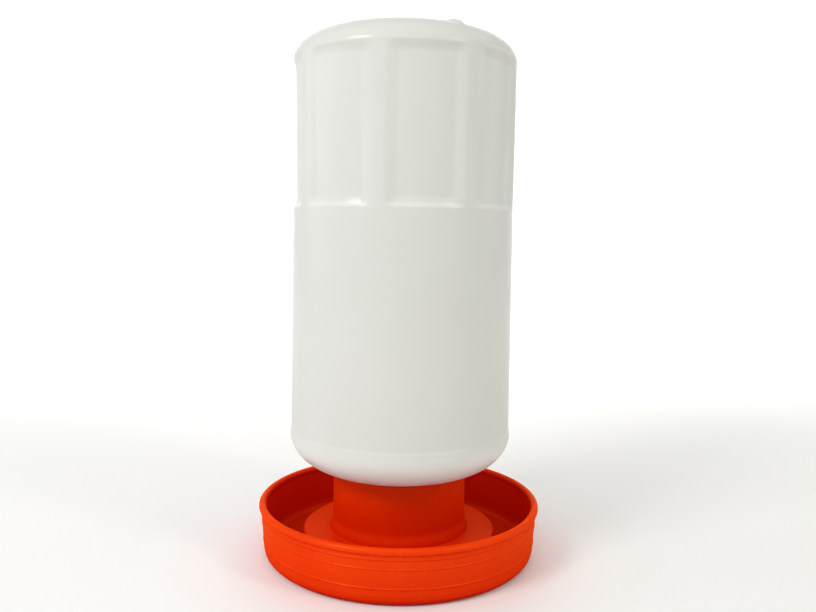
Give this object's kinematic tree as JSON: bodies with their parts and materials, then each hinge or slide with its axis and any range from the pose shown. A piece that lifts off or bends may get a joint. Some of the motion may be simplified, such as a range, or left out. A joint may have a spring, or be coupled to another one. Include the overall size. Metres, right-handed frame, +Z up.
{
  "type": "poultry waterer fount",
  "caption": "Gravity-fed poultry waterer: fluted translucent jar screwed upside down into the threaded collar of a shallow round drinking saucer.",
  "frame": {"origin": "centre of the face the saucer stands on", "axes": "+Z up along the jar and screw axis, -Y towards the side shown, +X to its right"},
  "size_m": [0.2016, 0.2016, 0.366],
  "materials": {
    "red_plastic": "semi-gloss moulded polyethylene",
    "milky_plastic": "translucent natural blow-moulded polyethylene",
    "seal_rubber": "matt"
  },
  "bodies": {
    "base": {"drinker_base": "red_plastic"},
    "seal": {"neck_seal": "seal_rubber"},
    "jar": {"jar": "milky_plastic"}
  },
  "joints": [
    {"name": "jar_lift", "type": "slide", "parent": "base", "child": "seal", "axis": [0, 0, 1], "range_m": [0, 0.0128]},
    {"name": "jar_turn", "type": "hinge", "parent": "seal", "child": "jar", "pos_m": [0, 0, 0.05], "axis": [0, 0, 1], "range_deg": [0, 900]}
  ],
  "couplings": [
    {"joint": "jar_lift", "follows": "jar_turn", "m_per_rad": 0.00080851}
  ]
}
